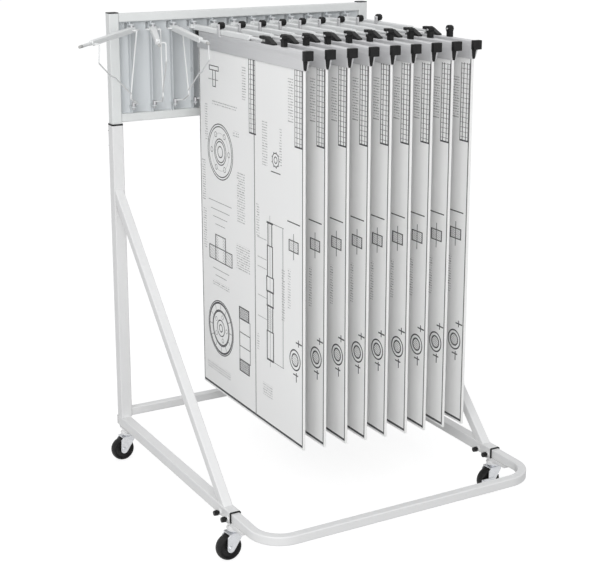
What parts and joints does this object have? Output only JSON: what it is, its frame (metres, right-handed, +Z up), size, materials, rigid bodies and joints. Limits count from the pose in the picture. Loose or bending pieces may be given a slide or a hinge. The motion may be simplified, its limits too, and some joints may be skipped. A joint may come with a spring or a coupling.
{
  "type": "plan hanging rack",
  "caption": "Wheeled steel frame with a height-adjustable rack of swinging pivot hangers that carry long two-jaw clamps with bundles of hanging plan sheets.",
  "frame": {"origin": "middle of the whole object's box at floor level, under the wheels' treads", "axes": "+X to the object's right seen from the front, +Y to the back where the uprights stand, +Z up"},
  "size_m": [0.897, 0.804, 1.1052],
  "materials": {
    "frame_paint": "light grey smooth enamel",
    "rack_paint": "light grey smooth enamel",
    "panel_paint": "blue-grey smooth enamel",
    "hanger_paint": "light grey enamel on pressed steel and wire",
    "fork_zinc": "bright zinc grey",
    "clamp_aluminium": "satin anodised extrusion",
    "plan_paper": "uncoated drawing paper with thin black line work",
    "black_plastic": "moulded black plastic",
    "wheel_black": "black hub and tread in one moulding"
  },
  "bodies": {
    "frame": {"left_upright": "frame_paint", "right_upright": "frame_paint", "left_rail": "frame_paint", "right_rail": "frame_paint", "left_brace": "frame_paint", "right_brace": "frame_paint", "rear_cross_tube": "frame_paint", "tube_collars": "black_plastic"},
    "u_base": {"front_u_tube": "frame_paint"},
    "rack": {"rack_side_tubes": "rack_paint", "rack_top_rail": "rack_paint", "rack_bottom_rail": "rack_paint", "rack_back_panel": "panel_paint", "tube_end_caps": "black_plastic"},
    "front_left_fork": {"front_left_fork": "fork_zinc"},
    "front_left_wheel": {"front_left_wheel": "wheel_black"},
    "front_right_fork": {"front_right_fork": "fork_zinc"},
    "front_right_wheel": {"front_right_wheel": "wheel_black"},
    "rear_left_fork": {"rear_left_fork": "fork_zinc"},
    "rear_left_wheel": {"rear_left_wheel": "wheel_black"},
    "rear_right_fork": {"rear_right_fork": "fork_zinc"},
    "rear_right_wheel": {"rear_right_wheel": "wheel_black"},
    "left_depth_screw_1": {"left_depth_screw_1": "black_plastic"},
    "left_depth_screw_2": {"left_depth_screw_2": "black_plastic"},
    "left_height_screw_1": {"left_height_screw_1": "black_plastic"},
    "left_height_screw_2": {"left_height_screw_2": "black_plastic"},
    "right_depth_screw_1": {"right_depth_screw_1": "black_plastic"},
    "right_depth_screw_2": {"right_depth_screw_2": "black_plastic"},
    "right_height_screw_1": {"right_height_screw_1": "black_plastic"},
    "right_height_screw_2": {"right_height_screw_2": "black_plastic"},
    "hanger_01": {"hanger_01": "hanger_paint"},
    "hanger_02": {"hanger_02": "hanger_paint"},
    "hanger_03": {"hanger_03": "hanger_paint"},
    "hanger_04": {"hanger_04": "hanger_paint"},
    "hanger_05": {"hanger_05": "hanger_paint"},
    "hanger_06": {"hanger_06": "hanger_paint"},
    "hanger_07": {"hanger_07": "hanger_paint"},
    "hanger_08": {"hanger_08": "hanger_paint"},
    "hanger_09": {"hanger_09": "hanger_paint"},
    "hanger_10": {"hanger_10": "hanger_paint"},
    "hanger_11": {"hanger_11": "hanger_paint"},
    "hanger_12": {"hanger_12": "hanger_paint"},
    "clamp_1_set": {"clamp_1": "clamp_aluminium", "sheets_1": "plan_paper"},
    "clamp_2_set": {"clamp_2": "clamp_aluminium", "sheets_2": "plan_paper"},
    "clamp_3_set": {"clamp_3": "clamp_aluminium", "sheets_3": "plan_paper"},
    "clamp_4_set": {"clamp_4": "clamp_aluminium", "sheets_4": "plan_paper"},
    "clamp_5_set": {"clamp_5": "clamp_aluminium", "sheets_5": "plan_paper"},
    "clamp_6_set": {"clamp_6": "clamp_aluminium", "sheets_6": "plan_paper"},
    "clamp_7_set": {"clamp_7": "clamp_aluminium", "sheets_7": "plan_paper"},
    "clamp_8_set": {"clamp_8": "clamp_aluminium", "sheets_8": "plan_paper"},
    "clamp_9_set": {"clamp_9": "clamp_aluminium", "sheets_9": "plan_paper"}
  },
  "joints": [
    {"name": "rack_height", "type": "slide", "parent": "frame", "child": "rack", "axis": [0, 0, 1], "range_m": [0, 0.4]},
    {"name": "base_depth", "type": "slide", "parent": "frame", "child": "u_base", "axis": [0, -1, 0], "range_m": [0, 0.28]},
    {"name": "front_left_swivel", "type": "hinge", "parent": "u_base", "child": "front_left_fork", "pos_m": [-0.25351, -0.246, 0.0615], "axis": [0, 0, 1], "continuous": true},
    {"name": "front_left_roll", "type": "hinge", "parent": "front_left_fork", "child": "front_left_wheel", "pos_m": [-0.26949, -0.24684, 0.0285], "axis": [-0.0523, 0.9986, 0], "continuous": true},
    {"name": "front_right_swivel", "type": "hinge", "parent": "u_base", "child": "front_right_fork", "pos_m": [0.43049, -0.246, 0.0615], "axis": [0, 0, 1], "continuous": true},
    {"name": "front_right_roll", "type": "hinge", "parent": "front_right_fork", "child": "front_right_wheel", "pos_m": [0.41451, -0.24684, 0.0285], "axis": [-0.0523, 0.9986, 0], "continuous": true},
    {"name": "rear_left_swivel", "type": "hinge", "parent": "frame", "child": "rear_left_fork", "pos_m": [-0.25351, 0.347, 0.0615], "axis": [0, 0, 1], "continuous": true},
    {"name": "rear_left_roll", "type": "hinge", "parent": "rear_left_fork", "child": "rear_left_wheel", "pos_m": [-0.26949, 0.34616, 0.0285], "axis": [-0.0523, 0.9986, 0], "continuous": true},
    {"name": "rear_right_swivel", "type": "hinge", "parent": "frame", "child": "rear_right_fork", "pos_m": [0.43049, 0.347, 0.0615], "axis": [0, 0, 1], "continuous": true},
    {"name": "rear_right_roll", "type": "hinge", "parent": "rear_right_fork", "child": "rear_right_wheel", "pos_m": [0.41451, 0.34616, 0.0285], "axis": [-0.0523, 0.9986, 0], "continuous": true},
    {"name": "left_depth_screw_1_turn", "type": "hinge", "parent": "frame", "child": "left_depth_screw_1", "pos_m": [-0.26901, -0.238, 0.088], "axis": [-1, 0, 0], "continuous": true},
    {"name": "left_depth_screw_2_turn", "type": "hinge", "parent": "frame", "child": "left_depth_screw_2", "pos_m": [-0.26901, -0.202, 0.088], "axis": [-1, 0, 0], "continuous": true},
    {"name": "left_height_screw_1_turn", "type": "hinge", "parent": "frame", "child": "left_height_screw_1", "pos_m": [-0.25201, 0.385, 0.822], "axis": [0, 1, 0], "continuous": true},
    {"name": "left_height_screw_2_turn", "type": "hinge", "parent": "frame", "child": "left_height_screw_2", "pos_m": [-0.25201, 0.385, 0.786], "axis": [0, 1, 0], "continuous": true},
    {"name": "right_depth_screw_1_turn", "type": "hinge", "parent": "frame", "child": "right_depth_screw_1", "pos_m": [0.41499, -0.238, 0.088], "axis": [-1, 0, 0], "continuous": true},
    {"name": "right_depth_screw_2_turn", "type": "hinge", "parent": "frame", "child": "right_depth_screw_2", "pos_m": [0.41499, -0.202, 0.088], "axis": [-1, 0, 0], "continuous": true},
    {"name": "right_height_screw_1_turn", "type": "hinge", "parent": "frame", "child": "right_height_screw_1", "pos_m": [0.42899, 0.385, 0.822], "axis": [0, 1, 0], "continuous": true},
    {"name": "right_height_screw_2_turn", "type": "hinge", "parent": "frame", "child": "right_height_screw_2", "pos_m": [0.42899, 0.385, 0.786], "axis": [0, 1, 0], "continuous": true},
    {"name": "hanger_01_swing", "type": "hinge", "parent": "rack", "child": "hanger_01", "pos_m": [-0.21376, 0.342, 1.071], "axis": [0, 0, 1], "range_deg": [-26, 24]},
    {"name": "hanger_02_swing", "type": "hinge", "parent": "rack", "child": "hanger_02", "pos_m": [-0.16026, 0.342, 1.071], "axis": [0, 0, 1], "range_deg": [-22, 14]},
    {"name": "hanger_03_swing", "type": "hinge", "parent": "rack", "child": "hanger_03", "pos_m": [-0.10676, 0.342, 1.071], "axis": [0, 0, 1], "range_deg": [-14, 12]},
    {"name": "hanger_04_swing", "type": "hinge", "parent": "rack", "child": "hanger_04", "pos_m": [-0.05326, 0.342, 1.071], "axis": [0, 0, 1], "range_deg": [-14, 4]},
    {"name": "hanger_05_swing", "type": "hinge", "parent": "rack", "child": "hanger_05", "pos_m": [0.00024, 0.342, 1.071], "axis": [0, 0, 1], "range_deg": [-12.44, 3.56]},
    {"name": "hanger_06_swing", "type": "hinge", "parent": "rack", "child": "hanger_06", "pos_m": [0.05374, 0.342, 1.071], "axis": [0, 0, 1], "range_deg": [-10.89, 3.11]},
    {"name": "hanger_07_swing", "type": "hinge", "parent": "rack", "child": "hanger_07", "pos_m": [0.10724, 0.342, 1.071], "axis": [0, 0, 1], "range_deg": [-9.33, 2.67]},
    {"name": "hanger_08_swing", "type": "hinge", "parent": "rack", "child": "hanger_08", "pos_m": [0.16074, 0.342, 1.071], "axis": [0, 0, 1], "range_deg": [-7.78, 2.22]},
    {"name": "hanger_09_swing", "type": "hinge", "parent": "rack", "child": "hanger_09", "pos_m": [0.21424, 0.342, 1.071], "axis": [0, 0, 1], "range_deg": [-6.22, 1.78]},
    {"name": "hanger_10_swing", "type": "hinge", "parent": "rack", "child": "hanger_10", "pos_m": [0.26774, 0.342, 1.071], "axis": [0, 0, 1], "range_deg": [-4.67, 1.33]},
    {"name": "hanger_11_swing", "type": "hinge", "parent": "rack", "child": "hanger_11", "pos_m": [0.32124, 0.342, 1.071], "axis": [0, 0, 1], "range_deg": [-3.11, 0.89]},
    {"name": "hanger_12_swing", "type": "hinge", "parent": "rack", "child": "hanger_12", "pos_m": [0.37474, 0.342, 1.071], "axis": [0, 0, 1], "range_deg": [-1.56, 0.44]},
    {"name": "clamp_1_pull", "type": "slide", "parent": "hanger_04", "child": "clamp_1_set", "axis": [0, -1, 0], "range_m": [0, 0.355]},
    {"name": "clamp_2_pull", "type": "slide", "parent": "hanger_05", "child": "clamp_2_set", "axis": [0, -1, 0], "range_m": [0, 0.355]},
    {"name": "clamp_3_pull", "type": "slide", "parent": "hanger_06", "child": "clamp_3_set", "axis": [0, -1, 0], "range_m": [0, 0.355]},
    {"name": "clamp_4_pull", "type": "slide", "parent": "hanger_07", "child": "clamp_4_set", "axis": [0, -1, 0], "range_m": [0, 0.355]},
    {"name": "clamp_5_pull", "type": "slide", "parent": "hanger_08", "child": "clamp_5_set", "axis": [0, -1, 0], "range_m": [0, 0.355]},
    {"name": "clamp_6_pull", "type": "slide", "parent": "hanger_09", "child": "clamp_6_set", "axis": [0, -1, 0], "range_m": [0, 0.355]},
    {"name": "clamp_7_pull", "type": "slide", "parent": "hanger_10", "child": "clamp_7_set", "axis": [0, -1, 0], "range_m": [0, 0.355]},
    {"name": "clamp_8_pull", "type": "slide", "parent": "hanger_11", "child": "clamp_8_set", "axis": [0, -1, 0], "range_m": [0, 0.355]},
    {"name": "clamp_9_pull", "type": "slide", "parent": "hanger_12", "child": "clamp_9_set", "axis": [0, -1, 0], "range_m": [0, 0.355]}
  ],
  "couplings": [
    {"joint": "hanger_05_swing", "follows": "hanger_04_swing", "ratio": 0.88889},
    {"joint": "hanger_06_swing", "follows": "hanger_04_swing", "ratio": 0.77778},
    {"joint": "hanger_07_swing", "follows": "hanger_04_swing", "ratio": 0.66667},
    {"joint": "hanger_08_swing", "follows": "hanger_04_swing", "ratio": 0.55556},
    {"joint": "hanger_09_swing", "follows": "hanger_04_swing", "ratio": 0.44444},
    {"joint": "hanger_10_swing", "follows": "hanger_04_swing", "ratio": 0.33333},
    {"joint": "hanger_11_swing", "follows": "hanger_04_swing", "ratio": 0.22222},
    {"joint": "hanger_12_swing", "follows": "hanger_04_swing", "ratio": 0.11111}
  ]
}
